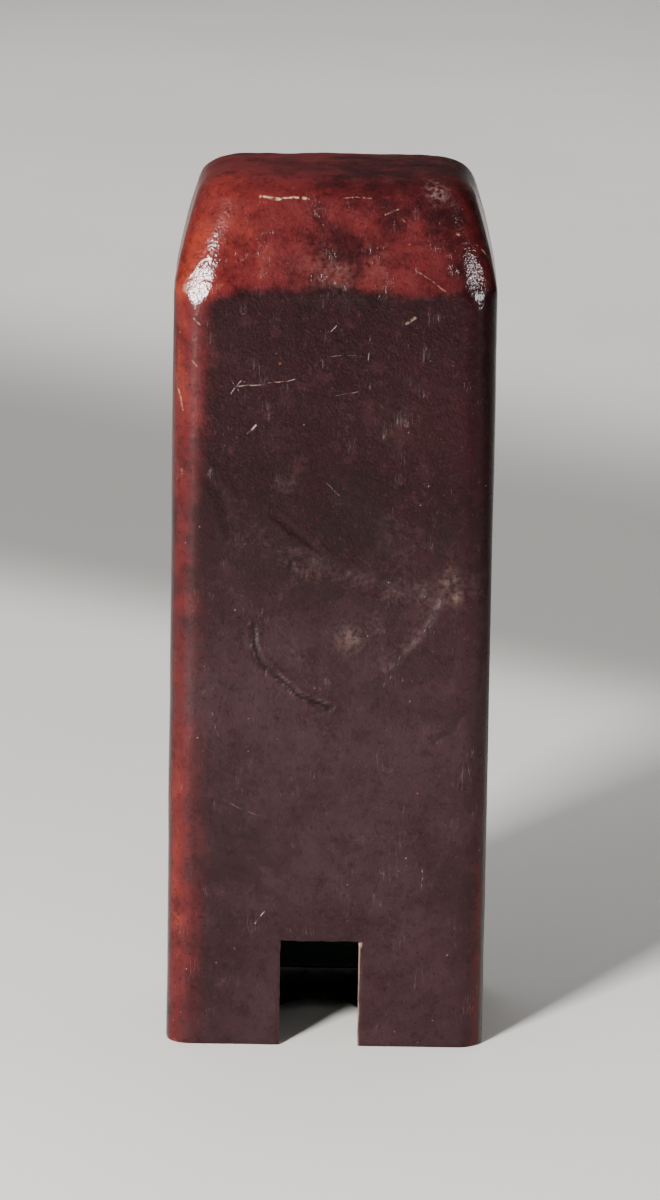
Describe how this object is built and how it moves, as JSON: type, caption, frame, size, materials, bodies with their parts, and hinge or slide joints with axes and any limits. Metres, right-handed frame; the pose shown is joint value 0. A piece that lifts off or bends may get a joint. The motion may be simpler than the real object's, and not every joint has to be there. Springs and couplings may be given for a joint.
{
  "type": "card dealing shoe",
  "caption": "Tall leather-covered dealing shoe on its open mouth: finger notch, hinged gate with turn button, exit slit, and a pusher with a knob in a back slot.",
  "frame": {"origin": "centre of the overall box at the mouth's rim, which the shoe stands on", "axes": "+Z from the mouth up to the heel, -Y the front with the finger notch, +Y the back with the knob, X across the width"},
  "size_m": [0.1048, 0.0922, 0.289],
  "materials": {
    "leather": "dark oxblood lacquered leather, worn orange-red at the edges",
    "beech": "plain oiled",
    "walnut": "waxed",
    "baize": "dark green wool baize",
    "brass": "aged, rubbed bright at the edges",
    "steel": "plain"
  },
  "bodies": {
    "case": {"leather_cover": "leather", "front_board": "beech", "back_board": "beech", "left_board": "beech", "right_board": "beech", "heel_block": "beech", "lining_front": "baize", "lining_back": "baize", "lining_left": "baize", "lining_right": "baize", "heel_felt": "baize", "hinge_leaf": "brass", "hinge_pin": "steel", "hinge_screw_1": "brass", "hinge_screw_2": "brass", "hinge_screw_3": "brass", "turn_button_screw": "brass", "exit_lip": "brass", "slot_plate": "brass", "lip_tack_1": "brass", "lip_tack_2": "brass", "lip_tack_3": "brass", "lip_tack_4": "brass", "lip_tack_5": "brass", "plate_tack_1": "brass", "plate_tack_2": "brass", "plate_tack_3": "brass", "plate_tack_4": "brass", "plate_tack_5": "brass", "plate_tack_6": "brass"},
    "gate": {"gate_plate": "brass"},
    "catch": {"turn_button": "brass"},
    "pusher": {"pusher_block": "walnut", "pusher_felt": "baize", "brake_spring_left": "steel", "brake_spring_right": "steel", "spring_screw_left": "brass", "spring_screw_right": "brass", "stem_bush": "brass", "knob_stem": "steel", "knob_washer": "brass", "knob": "brass"}
  },
  "joints": [
    {"name": "gate_hinge", "type": "hinge", "parent": "case", "child": "gate", "pos_m": [-0.0469, -0.0063, 0.0018], "axis": [0, 1, 0], "range_deg": [0, 100]},
    {"name": "catch_turn", "type": "hinge", "parent": "case", "child": "catch", "pos_m": [0.0479, -0.0063, 0.0009], "axis": [0, 0, 1], "range_deg": [0, 90]},
    {"name": "pusher_slide", "type": "slide", "parent": "case", "child": "pusher", "axis": [0, 0, 1], "range_m": [-0.2035, 0]}
  ]
}
